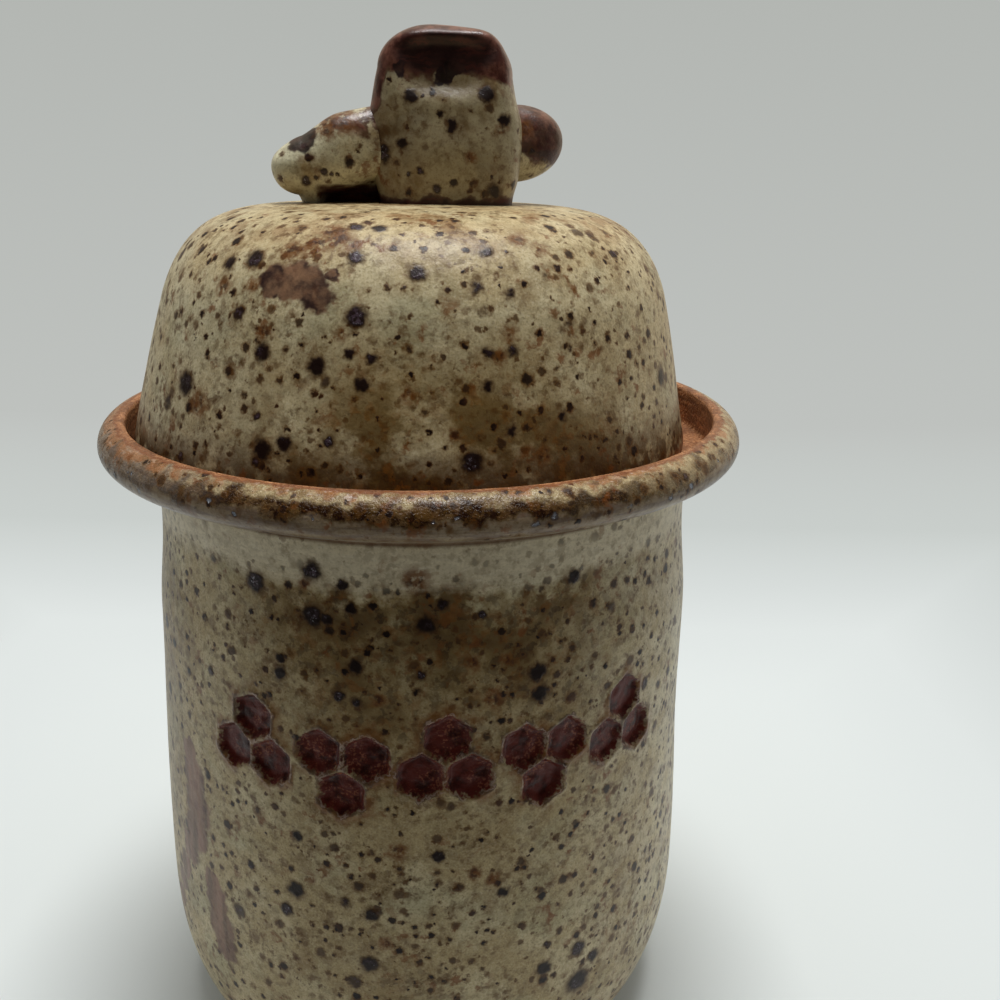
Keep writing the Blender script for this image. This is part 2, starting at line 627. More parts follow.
    tilt = add(tree, "CombineXYZ", (tip_x, tip_y, 0.0))
    deep = add(tree, "VectorMath DOT_PRODUCT", (flat, tilt), out="Value")
    deep = add(tree, "Math ADD", (deep, given["Depth"]))
    rough = add(tree, "TexNoise", {"Vector": place, "Scale": 0.8, "Detail": 3.0})
    rough = add(tree, "MapRange", (rough, *NOISE_RANGE, -STAMP_FLOOR, STAMP_FLOOR))
    deep = add(tree, "Math ADD", (deep, rough))
    pressed = add(tree, "MapRange", (comb, *STAMP_WALL), **SMOOTH)
    sunk = overlap(tree, pressed, deep)
    from_burr = add(tree, "Math SUBTRACT", (comb, BURR_MIDDLE))
    from_burr = add(tree, "Math ABSOLUTE", (from_burr,))
    raised = add(tree, "MapRange", (from_burr, BURR_REACH, 0.0), **SMOOTH)
    raised = add(tree, "Math MULTIPLY", (raised, given["Burr"]))
    push = add(tree, "Math SUBTRACT", (raised, sunk))
    outward = add(tree, "VectorMath MULTIPLY", (place, (1.0, 1.0, 0.0)))
    outward = add(tree, "VectorMath NORMALIZE", (outward,))
    offset = add(tree, "VectorMath SCALE", {0: outward, "Scale": push})
    kept = {"Geometry": given["Geometry"], "Name": "comb_edge", "Value": comb}
    jar = add(tree, "GeometryNodeStoreNamedAttribute", kept)
    jar = add(tree, "GeometryNodeSetPosition", {"Geometry": jar, "Offset": offset})
    return close_tree(tree, jar, given)


def section_object(name, section):
    """The section as a line of points in the XZ plane, each with its depth in the glaze."""
    mesh = bpy.data.meshes.new(name)
    count = len(section.points)
    mesh.from_pydata([(p.x, 0.0, p.y) for p in section.points], [(i, i + 1) for i in range(count - 1)], [])
    depth = mesh.attributes.new("glaze_depth", "FLOAT", "POINT")
    depth.data.foreach_set("value", section.depth_in_glaze())
    made = bpy.data.objects.new(name, mesh)
    bpy.context.collection.objects.link(made)
    return made


def shape_with(piece, tree, glaze, **sizes):
    """Adds a geometry tree to a piece. Sizes are named as the tree's inputs are, in lower case."""
    modifier = piece.modifiers.new(tree.name, "NODES")
    modifier.node_group = tree
    for socket in tree.interface.items_tree:
        key = socket.name.lower().replace(" ", "_")
        if socket.in_out == "INPUT" and key in sizes:
            modifier[socket.identifier] = sizes.pop(key)
        if socket.in_out == "INPUT" and socket.name == "Glaze":
            modifier[socket.identifier] = glaze
    assert not sizes, f"{tree.name} has no input for {sorted(sizes)}"


def settle(piece):
    """Turns a piece's evaluated shape into a plain mesh in metres."""
    evaluated = piece.evaluated_get(bpy.context.evaluated_depsgraph_get())
    mesh = bpy.data.meshes.new_from_object(evaluated)
    piece.modifiers.clear()
    piece.data = mesh
    mesh.transform(Matrix.Scale(MM, 4))
    mesh.update()


# ---------------------------------------------------------------- knob

KNOB_ROOT = Vector((lid_axis + 6.0, -0.5, lid_top))
KNOB_SINK = 2.2  # how far the lumps run into the lid's wall, where they were luted on
TAB_HEIGHT = tab_high.z - lid_top
TAB_TIP = 7.1  # the rounded top
TAB_SQUARENESS = 3.2
LOBE_SQUARENESS = 2.25
LUMP_RINGS, TIP_RINGS, LUMP_COLUMNS = 44, 26, 128
TIP_FULLNESS = (0.87, 0.55)  # how blunt a lump's end is, across and sideways
TIP_WELD = 0.003  # closes the point at its end
# The lumps' stations: (distance outwards, height, half size across the spine, half size sideways).
TAB_STATIONS = (
    (0.0, -KNOB_SINK, 11.3, 6.6), (0.0, 1.0, 11.4, 6.7), (0.0, 4.5, 12.3, 6.9), (0.1, 8.5, 12.85, 7.0),
    (0.2, 12.5, 12.75, 7.0), (0.2, 16.5, 11.9, 7.0), (0.0, TAB_HEIGHT - TAB_TIP, 11.1, 7.0),
)  # fmt: skip
LEFT_STATIONS = ((7.6, 10.0, 5.9, 3.6), (12.4, 9.2, 5.9, 4.6), (17.4, 7.8, 6.2, 5.3), (22.4, 6.3, 5.3, 4.9))
RIGHT_STATIONS = ((7.0, 9.4, 5.8, 5.6), (10.0, 9.7, 6.4, 6.0), (12.8, 9.9, 6.3, 6.0))
# What fingers did to them, in places given by x and height from the knob's root.
FINGER_SIZE = 7.0
THUMB_MIDDLE = (0.2, 22.2)
THUMB_SIZE = (9.2, 3.5, 6.5)  # half width, and how far it reaches up and down
THUMB_SQUARENESS = 2.8
THUMB_DEPTH = 1.6
THUMB_RIM = 1.15  # where the crest round the hollow is, as a share of the hollow's size
CREST_RISE = 0.5
BELLY_MIDDLE, BELLY_SIZE, BELLY_RISE = (1.0, 8.5), (11.0, 8.0), 0.7
CORNER_PULL = (0.7, 0.35)
HEEL_X, HEEL_BACK = -22.4, 4.2
LOBE_FOOT = -1.2
TOE_X, TOE_DROP = -24.5, 0.9
GAP_X, GAP_RISE = -14.5, 0.5
DENT_SEED = 5

noise.seed_set(DENT_SEED)  # without one, noise_vector starts from the clock


def smooth_rows(stations, count):
    """Rows of numbers at even steps along a smooth line through the stations."""
    rows = []
    last = len(stations) - 1
    for i in range(count):
        along = i / (count - 1) * last
        k = min(int(along), last - 1)
        t = along - k
        before = stations[max(k - 1, 0)]
        after = stations[min(k + 2, last)]
        row = []
        for a, b, c, d in zip(before, stations[k], stations[k + 1], after):
            lead_out, lead_in = (c - a) / 2, (d - b) / 2
            row.append(
                b * (2 * t**3 - 3 * t**2 + 1)
                + lead_out * (t**3 - 2 * t**2 + t)
                + c * (3 * t**2 - 2 * t**3)
                + lead_in * (t**3 - t**2)
            )
        rows.append(row)
    return rows


def lump(name, outward, side, stations, tip, squareness, press):
    """A lump of clay rolled in the hand: rounded sections along a bent spine, with a rounded end.

    The sections shrink to a point over the tip's length, and press moves each point as fingers did.
    """
    columns = LUMP_COLUMNS
    rows = [(*row, 1.0, 1.0) for row in smooth_rows(stations, LUMP_RINGS)]
    *_, (x0, z0, across, sideways, _, _) = rows
    bx, bz = x0 - rows[-3][0], z0 - rows[-3][1]
    length = math.hypot(bx, bz)
    bx, bz = bx / length, bz / length
    for i in range(1, TIP_RINGS + 1):
        swing = math.pi / 2 * i / TIP_RINGS
        reach = tip * math.sin(swing)
        shrink = max(math.cos(swing), 0.0)
        shrinks = (shrink**power for power in TIP_FULLNESS)
        rows.append((x0 + bx * reach, z0 + bz * reach, across, sideways, *shrinks))
    points = []
    for i, (x, z, across, sideways, shrink, shrink_side) in enumerate(rows):
        x1, z1 = rows[max(i - 1, 0)][:2]
        x2, z2 = rows[min(i + 1, len(rows) - 1)][:2]
        along = (outward * (x2 - x1) + Vector((0, 0, z2 - z1))).normalized()
        across_axis = side.cross(along)
        middle = KNOB_ROOT + outward * x + Vector((0, 0, z))
        for j in range(columns):
            turn = math.tau * j / columns
            c, s = math.cos(turn), math.sin(turn)
            u = math.copysign(abs(c) ** (2 / squareness), c) * across * shrink
            v = math.copysign(abs(s) ** (2 / squareness), s) * sideways * shrink_side
            point = middle + across_axis * u + side * v
            points.append(point + press(point, v))
    faces = []
    for i in range(len(rows) - 1):
        for j in range(columns):
            k = (j + 1) % columns
            faces.append((i * columns + j, i * columns + k, (i + 1) * columns + k, (i + 1) * columns + j))
    faces.append(tuple(range(columns - 1, -1, -1)))
    mesh = bpy.data.meshes.new(name)
    mesh.from_pydata(points, [], faces)
    made = bpy.data.objects.new(name, mesh)
    bpy.context.collection.objects.link(made)
    weld = made.modifiers.new("weld", "WELD")
    weld.merge_threshold = TIP_WELD
    return made


def falling(value, start, end):
    """1 up to start, 0 from end on, and smooth between."""
    t = min(max((value - start) / (end - start), 0.0), 1.0)
    return 1 - t * t * (3 - 2 * t)


def hand_dents(point, depth, shift):
    """The soft unevenness that fingers leave in a lump."""
    place = (point + Vector((shift, shift, shift))) / FINGER_SIZE
    return Vector(noise.noise_vector(place)) * depth


def press_tab(point, aside):
    """The thumb's hollow with its proud crest, and a belly of clay pushed out below it."""
    x, h = point.x - KNOB_ROOT.x, point.z - KNOB_ROOT.z
    move = hand_dents(point, 0.28, 11.0)
    if aside < 0:
        dx = abs(x - THUMB_MIDDLE[0]) / THUMB_SIZE[0]
        dh = h - THUMB_MIDDLE[1]
        dh = abs(dh) / (THUMB_SIZE[1] if dh > 0 else THUMB_SIZE[2])
        reach = (dx**THUMB_SQUARENESS + dh**THUMB_SQUARENESS) ** (1 / THUMB_SQUARENESS)
        rise = min(max((h - 13.0) / 7.0, 0.0), 1.0)
        front = min(-aside / 4.0, 1.0)
        off_belly = math.hypot(*((v - m) / size for v, m, size in zip((x, h), BELLY_MIDDLE, BELLY_SIZE)))
        move.y += THUMB_DEPTH * falling(reach, 0.5, 1.0) * front
        move.y -= CREST_RISE * falling(abs(reach - THUMB_RIM), 0.0, 0.3) * rise * front
        move.y -= BELLY_RISE * falling(off_belly, 0.0, 1.0) * front
    corner = (1 - falling(h, 23.0, 27.0)) * (1 - falling(x, 2.0, 7.0))
    move.x += CORNER_PULL[0] * corner
    move.z += CORNER_PULL[1] * corner
    return move


def press_left_lobe(point, aside):
    """The left lobe's far side comes down onto the crown, and so does its heel, a little behind its front.
    Under the front there is a low dark gap.
    """
    x, h = point.x - KNOB_ROOT.x, point.z - KNOB_ROOT.z
    move = hand_dents(point, 0.3, 3.0)
    heel = HEEL_BACK * falling(abs(x - HEEL_X), 0.8, 3.0)
    pressed = falling(-aside, heel - 3.4, heel - 1.0) * falling(-x, 23.6, 26.4)
    down = pressed * falling(h, 4.0, 8.0)
    move.z -= down * (h - LOBE_FOOT)
    move.z -= TOE_DROP * falling(abs(x - TOE_X), 1.0, 7.0) * (1 - falling(h, 5.0, 9.0))
    move.z += GAP_RISE * falling(abs(x - GAP_X), 1.5, 6.0) * falling(h, 2.0, 6.0) * (1 - down)
    return move


def press_right_lobe(point, aside):
    return hand_dents(point, 0.3, 21.0)


def make_knob():
    ahead = Vector((0, 1, 0))
    made = [lump("pinched_tab", Vector((-1, 0, 0)), ahead, TAB_STATIONS, TAB_TIP, TAB_SQUARENESS, press_tab)]
    for name, turn, stations, tip, press in (
        ("left_lobe", math.radians(186), LEFT_STATIONS, 6.7, press_left_lobe),
        ("right_lobe", math.radians(22), RIGHT_STATIONS, 7.7, press_right_lobe),
    ):
        outward = Vector((math.cos(turn), math.sin(turn), 0))
        side = outward.cross(Vector((0, 0, 1))).normalized()
        made.append(lump(name, outward, side, stations, tip, LOBE_SQUARENESS, press))
    return made


# ---------------------------------------------------------------- glaze


def overlap(tree, first, *others):
    """The share where all of the masks reach."""
    for mask in others:
        first = add(tree, "Math MULTIPLY", (first, mask))
    return first


def lay(tree, look, *layers):
    """Lays effects of the kiln over a look, one after another, each as far as all of its masks reach.

    A look is its colour, its roughness and its relief in millimetres. A layer is (masks, colour, roughness,
    relief), and what it leaves out stays as it was. A mask may be a plain share.
    """
    under, gloss, height = look
    for masks, *effect in layers:
        colour, roughness, relief = (*effect, None, None, None)[:3]
        reach = overlap(tree, *masks)
        if colour is not None:
            under = washed(tree, under, (reach, colour))
        if roughness is not None:
            gloss = add(tree, "Mix", {0: reach, 2: gloss, 3: roughness})
        if relief is not None:
            height = add(tree, "Math MULTIPLY_ADD", (reach, relief, height))
    return under, gloss, height


def patches(tree, place, size, low, high, detail=3.0, shift=0.0):
    """Cloudy patches of about a size: 0 where the noise is under low, and 1 where it is over high."""
    if shift:
        place = add(tree, "VectorMath ADD", (place, (shift, shift * 1.7, shift * 0.6)))
    cloud = {"Vector": place, "Scale": 1 / size, "Detail": detail, "Roughness": 0.55}
    cloud = add(tree, "TexNoise", cloud)
    return add(tree, "MapRange", (cloud, low, high), **SMOOTH)


def stray(tree, place, size, amount, detail=4.0):
    """A wandering number between minus and plus an amount, which frays an edge that reads it."""
    cloud = add(tree, "TexNoise", {"Vector": place, "Scale": 1 / size, "Detail": detail})
    return add(tree, "MapRange", (cloud, *NOISE_RANGE, -amount, amount))


def rings(tree, look, away, layers, masks=()):
    """The rings of a freckle, from its halo to its heart.

    Each fades in from outer to inner, which are shares of the freckle's size.
    """
    for outer, inner, share, *effect in layers:
        reach = add(tree, "MapRange", (away, outer, inner, 0.0, share), **SMOOTH)
        look = lay(tree, look, ((reach, *masks), *effect))
    return look


def freckles(tree, look, place, spacing, smallest, largest, share, layers, shift, masks=()):
    """Iron freckles scattered through the glaze: only a share of the places have one, most of those are
    small, and some are faint.
    """
    moved = add(tree, "VectorMath ADD", (place, (shift, shift * 0.3, shift * 1.9)))
    found = add(tree, "TexVoronoi", {"Vector": moved, "Scale": 1 / spacing}, out=None).outputs
    draws = add(tree, "SeparateColor", (found["Color"],), out=None).outputs
    skewed = add(tree, "Math POWER", (draws[0], SMALL_ONES))
    size = add(tree, "MapRange", (skewed, 0.0, 1.0, smallest / spacing, largest / spacing))
    there = add(tree, "Math LESS_THAN", (draws[1], share))
    strength = add(tree, "MapRange", (draws[2], *FAINT_ONES))
    away = add(tree, "Math DIVIDE", (found["Distance"], size))
    look = rings(tree, look, away, layers[:-1], (there, *masks))
    return rings(tree, look, away, layers[-1:], (there, strength, *masks))


def near_marks(tree, place, marks):
    """How far from the nearest mark, as a share of its size. A mark is (point, size)."""
    nearest = None
    for point, size in marks:
        away = add(tree, "VectorMath DISTANCE", (place, tuple(point)), out="Value")
        away = add(tree, "Math MULTIPLY", (away, 1 / size))
        if nearest is not None:
            away = add(tree, "Math MINIMUM", (nearest, away))
        nearest = away
    return nearest


def between(tree, value, low, high, soft):
    """1 where a value lies between low and high, fading over soft at both ends."""
    from_low = add(tree, "MapRange", (value, low - soft / 2, low + soft / 2))
    to_high = add(tree, "MapRange", (value, high - soft / 2, high + soft / 2, 1.0, 0.0))
    return overlap(tree, from_low, to_high)


def stretched(tree, place, stretch, size, low, high, shift):
    """Streaks: patches drawn out by a brush, a rib or a finger, as far as stretch is small on an axis."""
    drawn = add(tree, "VectorMath MULTIPLY", (place, stretch))
    return patches(tree, drawn, size, low, high, shift=shift)


ROUND_THE_POT = (0.3, 0.3, 2.4)
DOWN_THE_POT = (2.2, 2.2, 0.3)

# A freckle's rings, each (outer, inner, share, colour, roughness, relief).
FINE_SPECKS = ((1.5, 0.3, 0.7, "#553614"),)
FAINT_FRECKLES = ((1.4, 0.5, 0.9, "#5c390b", 0.4),)
FRECKLE_HALO = (1.6, 0.9, 0.75, "#6b4410", 0.4)
LARGE_FRECKLES = ((1.45, 0.85, 0.7, "#5f3d10", 0.4), (1.12, 0.66, 1.0, "#281107", 0.42, 0.04))
COOLED_HEARTS = ((0.85, 0.3, 0.7, "#624f5c", 0.36, 0.04),)
HEART_GLINTS = ((0.75, 0.4, 0.8, "#a5a2aa", 0.2, 0.08),)
SPOT_RINGS = ((1.5, 0.85, 0.7, "#583812", 0.4), (1.1, 0.6, 1.0, "#220e06", 0.42, 0.04))
RUST_RINGS = ((1.5, 0.5, 0.85, "#75430f", 0.38),)
BURNT_RINGS = ((0.95, 0.3, 0.85, "#3d1c08", 0.38),)
PIT_RINGS = ((1.2, 0.95, 0.7, "#3d3338", 0.3), (0.95, 0.6, 1.0, "#8d929c", 0.08, -0.2))

SMALL_ONES = 1.6  # over 1, more of the freckles are small
FAINT_ONES = (0.0, 0.65, 0.4, 1.0)  # how a draw of 0 to 1 gives a freckle's strength
BLOTCH_RIM = (0.62, 1.02, 0.24)  # a band of the blotch's size: from, to, softness
IRON_FRINGE = (0.15, 0.85, 0.4)  # the same of the slip's thickness

GLAZE_ROUGHNESS = 0.42
GLAZE_IOR = 1.4
IRON_GLAZE_IOR = 1.55


class Clay:
    """A material in the making, with the places that every effect reads, in millimetres.

    Shift moves the noises, so that no two pieces have the same ones.
    """

    def __init__(self, name, shift):
        self.material = new_material(name)
        self.tree = tree = self.material.node_tree
        place = add(tree, "TexCoord", out="Object")
        self.true_place = add(tree, "VectorMath SCALE", {0: place, "Scale": 1 / MM})
        self.x, self.y, self.z = add(tree, "SeparateXYZ", (self.true_place,), out=None).outputs
        self.place = add(tree, "VectorMath ADD", (self.true_place, (shift, -shift, shift * 0.4)))
        # Places moved a little to and fro, so that what reads them gets an uneven edge.
        little, more, much = self.stir(0.65, 1.1), self.stir(1.05, 1.5), self.stir(2.5, 3.5)
        self.frayed = add(tree, "VectorMath ADD", (self.place, little))
        self.stirred = add(tree, "VectorMath ADD", (self.place, more))
        self.ragged = add(tree, "VectorMath ADD", (self.true_place, more))
        self.drifted = add(tree, "VectorMath ADD", (self.true_place, much))

    def stir(self, size, amount):
        cloud = {"Vector": self.place, "Scale": 1 / size, "Detail": 3.0}
        cloud = add(self.tree, "TexNoise", cloud, out="Color")
        cloud = add(self.tree, "VectorMath SUBTRACT", (cloud, (0.5, 0.5, 0.5)))
        return add(self.tree, "VectorMath SCALE", {0: cloud, "Scale": amount})

    def near_front(self, middle, far, near, least):
        """1 nearer to the middle of the front than near, falling to the least share at far."""
        off = add(self.tree, "Math ADD", (self.x, -middle))
        off = add(self.tree, "Math ABSOLUTE", (off,))
        return add(self.tree, "MapRange", (off, far, near, least, 1.0), **SMOOTH)

    def finish(self, look, ior=GLAZE_IOR):
        colour, roughness, relief = look
        bump = add(self.tree, "Bump", {"Strength": 1.0, "Distance": MM, "Height": relief})
        glaze = {"Base Color": colour, "Roughness": roughness, "Normal": bump, "IOR": ior}
        glaze = add(self.tree, "BsdfPrincipled", glaze)
        add(self.tree, "OutputMaterial", (glaze,), out=None)
        return self.material


def speckled_glaze(clay, thin, tones, base="#bda87b", crowd=1.0):
    """Feldspathic stoneware glaze, fired in reduction: buff and milky where thick, olive brown where thin,
    satin, and full of iron freckles that bled out of the clay.

    Thin is a mask. Tones are other layers that lie under the freckles. Base is the glaze where nothing else
    happens, and crowd is how many of the freckles there are.
    """
    tree, place, stirred, frayed = clay.tree, clay.place, clay.stirred, clay.frayed
    grain = add(tree, "TexNoise", {"Vector": place, "Scale": 3.0, "Detail": 3.0})
    orange_peel = add(tree, "TexNoise", {"Vector": place, "Scale": 0.42, "Detail": 2.0})
    relief = add(tree, "Math MULTIPLY", (grain, 0.04))
    relief = add(tree, "Math MULTIPLY_ADD", (orange_peel, 0.2, relief))
    pale = add(tree, "MapRange", (grain, 0.47, 0.3, 0.0, 0.3))
    dull = add(tree, "MapRange", (grain, 0.52, 0.7, 0.0, 0.38))
    amber = add(tree, "MapRange", (thin, 0.0, 0.55, 0.0, 0.9))
    thinnest = add(tree, "MapRange", (thin, 0.35, 1.0))
    milky, green, brown, mottle, bleeding, rust = (
        patches(tree, stirred, *row)
        for row in (  # size, low, high, detail, shift
            (9.0, 0.42, 0.68, 5.0, 5.0),
            (13.0, 0.48, 0.7, 3.0, 31.0),
            (5.5, 0.5, 0.74, 6.0, 17.0),
            (1.5, 0.46, 0.7, 5.0, 51.0),
            (2.1, 0.55, 0.68, 5.0, 83.0),
            (2.6, 0.57, 0.7, 4.0, 43.0),
        )
    )
    crowded = patches(tree, place, 9.0, 0.38, 0.62, shift=71.0)
    some = add(tree, "MapRange", (crowded, 0.0, 1.0, 0.5, 1.0))
    rusty_places = patches(tree, place, 15.0, 0.4, 0.56, shift=3.0)
    look = lay(
        tree,
        (linear(base), GLAZE_ROUGHNESS, relief),
        ((milky,), "#d8c9a0", 0.44),
        ((green, 0.5), "#a8a582"),
        ((brown, 0.55), "#7c5a28", 0.4),
        ((pale,), "#e9dfc2"),
        ((amber,), "#876c3a", 0.4),
        ((thinnest,), "#482e0c", 0.4),
        *tones,
        ((dull,), "#6b4f22"),
        ((mottle, some, 0.62), "#64481a"),
        ((bleeding, some, 0.7), "#5f3c10", 0.4),
        ((rust, rusty_places, 0.8), "#7a430f", 0.38),
    )

    burnt_places = patches(tree, place, 3.0, 0.3, 0.54, shift=91.0)
    core = (1.14, 0.7, 1.0, washed(tree, "#4c2a0c", (burnt_places, "#1f0c04")), 0.42, 0.02)
    cool_places = patches(tree, place, 0.8, 0.45, 0.6)
    for where, spacing, smallest, largest, share, layers, shift, masks in (
        (frayed, 0.9, 0.12, 0.32, 0.75, FINE_SPECKS, 9.0, (some,)),
        (frayed, 1.8, 0.25, 0.7, 0.65, FAINT_FRECKLES, 14.0, (some,)),
        (frayed, 2.1, 0.26, 0.66, 0.82, (FRECKLE_HALO, core), 23.0, ()),
        (frayed, 3.3, 0.4, 0.95, 0.7, (FRECKLE_HALO, core), 37.0, ()),
        (stirred, 7.0, 0.7, 1.4, 0.5, LARGE_FRECKLES, 57.0, ()),
        (stirred, 7.0, 0.7, 1.4, 0.5, COOLED_HEARTS, 57.0, (cool_places,)),
    ):
        sizes = (spacing, smallest, largest, share * crowd)
        look = freckles(tree, look, where, *sizes, layers, shift, masks)
    return look


def spot_marks(clay, look, dark, rust, blotches, blotch_colours=("#46291f", "#8a6448")):
    """The larger freckles and blotches that have a place of their own."""
    tree, place = clay.tree, clay.place
    if blotches:
        away = near_marks(tree, clay.drifted, blotches)
        tone = patches(tree, place, 2.4, 0.36, 0.64, 6.0, 2.0)
        colour = washed(tree, blotch_colours[0], (tone, blotch_colours[1]))
        look = rings(tree, look, away, ((1.25, 0.88, 0.95, colour, 0.4),))
        rim = between(tree, away, *BLOTCH_RIM)
        look = lay(tree, look, ((rim, patches(tree, place, 4.0, 0.42, 0.58), 0.85), "#2c1a1a", 0.36))
    if rust:
        away = near_marks(tree, clay.ragged, rust)
        look = rings(tree, look, away, RUST_RINGS, (patches(tree, place, 1.0, 0.3, 0.55, 4.0),))
        look = rings(tree, look, away, BURNT_RINGS, (patches(tree, place, 1.2, 0.46, 0.6, shift=8.0),))
    away = near_marks(tree, clay.ragged, dark)
    crystals = patches(tree, place, 0.5, 0.4, 0.6)
    cool_places = patches(tree, place, 9.0, 0.48, 0.6, shift=66.0)
    glints = patches(tree, place, 0.4, 0.6, 0.66, shift=16.0)
    look = rings(tree, look, away, SPOT_RINGS)
    look = rings(tree, look, away, COOLED_HEARTS, (crystals, cool_places))
    return rings(tree, look, away, HEART_GLINTS, (glints, cool_places))


def bare_clay(clay, look, burnt_reach):
    """Where the glaze stops: toasted stoneware, orange at the glaze's edge, dry and sandy."""
    tree, place = clay.tree, clay.place
    depth = add(tree, "Attribute", out="Fac", attribute_name="glaze_depth")
    depth = add(tree, "Math ADD", (depth, stray(tree, place, 2.0, 0.5, 3.0)))
    burnt = add(tree, "MapRange", (depth, burnt_reach, 0.1, 0.0, 0.9), **SMOOTH)
    bare = add(tree, "MapRange", (depth, 0.25, -0.35), **SMOOTH)
    sand = patches(tree, place, 0.5, 0.35, 0.65)
    sandy = washed(tree, "#8f5831", (sand, "#c48d60"))
    streak = stretched(tree, place, ROUND_THE_POT, 1.6, 0.35, 0.65, 8.0)
    return lay(
        tree,
        look,
        ((burnt,), "#7c4420", 0.34),
        ((bare,), sandy, 0.5, 0.0),
        ((bare, streak, 0.7), "#5a3219"),
        ((bare, sand), None, None, 0.08),
    )


def on_wall(section, axis, marks):
    """Marks given by angle, height and size, as points on the outside of a turned piece."""
    placed = []
    for turn, height, size in marks:
        radius, angle = section.radius_at(height), math.radians(turn)
        placed.append((Vector((axis + radius * math.sin(angle), -radius * math.cos(angle), height)), size))
    return placed


# Marks on the lid and the jar: (angle, height, size).
LID_SPOTS = (
    (-31, 148.2, 1.6), (-38, 147.4, 1.2), (-7, 149.0, 1.2), (-9, 152.7, 1.0), (-3, 152.6, 1.1),
    (6, 147.0, 1.3), (21, 149.4, 1.2), (17.5, 145.0, 1.1), (24, 144.0, 1.1), (18.5, 142.0, 0.9),
    (33, 146.0, 1.0), (-5.5, 141.4, 1.6), (-24, 136.0, 1.3), (-43, 130.0, 1.9), (34, 139.2, 1.0),
    (36, 139.8, 1.0), (32, 127.2, 0.8), (22, 126.0, 0.9), (18, 132.2, 0.9), (-12.5, 134.8, 1.4),
    (-4, 132.6, 1.1), (-6.5, 136.6, 0.8), (-2.5, 136.0, 0.8), (-22, 123.0, 1.5), (-17.6, 124.2, 1.2),
    (14.6, 122.2, 1.7), (-9.5, 125.0, 0.9), (23.3, 136.8, 1.1), (18.7, 136.6, 1.0), (64, 129.3, 1.7),
)  # fmt: skip
LID_RUSTS = (
    (23, 139.0, 1.3), (20.7, 136.0, 1.2), (-24, 138.8, 1.3), (4.2, 131.3, 1.0), (-37, 144.1, 1.4),
    (-29, 144.8, 1.2), (24.7, 122.6, 1.3), (27.6, 122.3, 1.2), (12, 126.0, 1.0), (-8.3, 139.0, 1.0),
    (36, 146.0, 0.9), (-38, 127.8, 2.0), (76, 150.0, 1.8), (-17, 150.4, 2.3), (-12, 151.2, 2.2),
    (-22, 149.6, 1.7), (-8, 150.4, 1.4), (-15, 152.2, 1.6), (30, 150.6, 1.6), (34, 149.4, 1.5),
)  # fmt: skip
LID_BLOTCHES = (
    (-23.8, 145.6, 2.5), (-20.0, 145.8, 2.9), (-16.0, 145.4, 2.7), (-13.6, 143.6, 2.1), (-11.4, 146.6, 1.1),
)  # fmt: skip
JAR_SPOTS = (
    (-16, 105.2, 1.6), (-16, 98.3, 1.8), (-13.4, 98.0, 1.0), (4.2, 98.0, 1.5), (-10.5, 103.6, 0.9),
    (-9, 100.0, 1.0), (-8, 91.1, 1.2), (3.4, 90.2, 0.8), (6.7, 82.0, 1.2), (-28, 101.8, 1.7),
    (-22.3, 90.7, 0.9), (-22.6, 88.3, 1.2), (-11.3, 86.2, 1.1), (-8.2, 85.4, 0.8), (24.3, 88.7, 1.5),
    (24.9, 85.1, 1.4), (7, 101.2, 0.9), (14, 99.1, 0.8), (32, 102.7, 1.2), (-20.4, 60.1, 1.0),
    (-20.8, 50.0, 1.6), (-22.9, 45.8, 1.2), (-6.7, 38.5, 1.5), (-6.3, 47.8, 1.2), (18, 50.8, 1.0),
    (34.3, 27.5, 2.4), (26.2, 33.5, 1.4), (34, 34.6, 1.5), (38, 31.2, 1.3), (6, 58.8, 1.1),
)  # fmt: skip
JAR_RUSTS = (
    (-4.1, 86.0, 1.1), (12.2, 91.8, 1.2), (18.1, 91.7, 1.1), (15.8, 85.4, 1.4), (2.4, 105.0, 2.0),
    (-18, 53.0, 1.1), (-15.5, 54.5, 1.0), (-1.2, 59.8, 1.6), (12.7, 55.2, 1.1), (-3.8, 42.6, 1.2),
    (15.8, 53.5, 1.0), (-17.5, 103.0, 1.0),
)  # fmt: skip
JAR_STREAKS = (
    (-50.5, 65.5, 2.8), (-49.0, 61.5, 4.0), (-48.0, 56.0, 4.6), (-49.0, 50.5, 4.2), (-52.0, 45.0, 3.2),
    (-55.5, 40.0, 3.0), (-58.5, 35.0, 2.8), (-61.0, 30.0, 2.6), (-63.0, 25.0, 2.4),
    (-43.5, 43.0, 2.4), (-42.0, 39.6, 3.5), (-41.0, 35.0, 3.9), (-40.0, 31.0, 3.2),
)  # fmt: skip


# Bands of the jar's outside: where each starts and ends by height, and how soft its edges are.
OUTSIDE_ABOVE = 110.9
MILKY_BAND = (104.0, 110.6, 4.0)
CREASE_BAND = (110.0, 111.2, 0.5)
VIOLET_BAND = (110.9, 116.9, 0.9)
PIT_BAND = (115.6, 117.4, 0.5)
LOW_ROLL_BAND = (116.7, 118.9, 0.9)
RUSTY_BAND = (116.8, 121.0, 0.9)
BALD_BAND = (119.95, 124.0, 0.6)
# Bands round each stamp, by the distance from its edge.
BURR_BAND = (0.1, 0.8, 0.3)
CREST_BAND = (0.24, 0.5, 0.16)


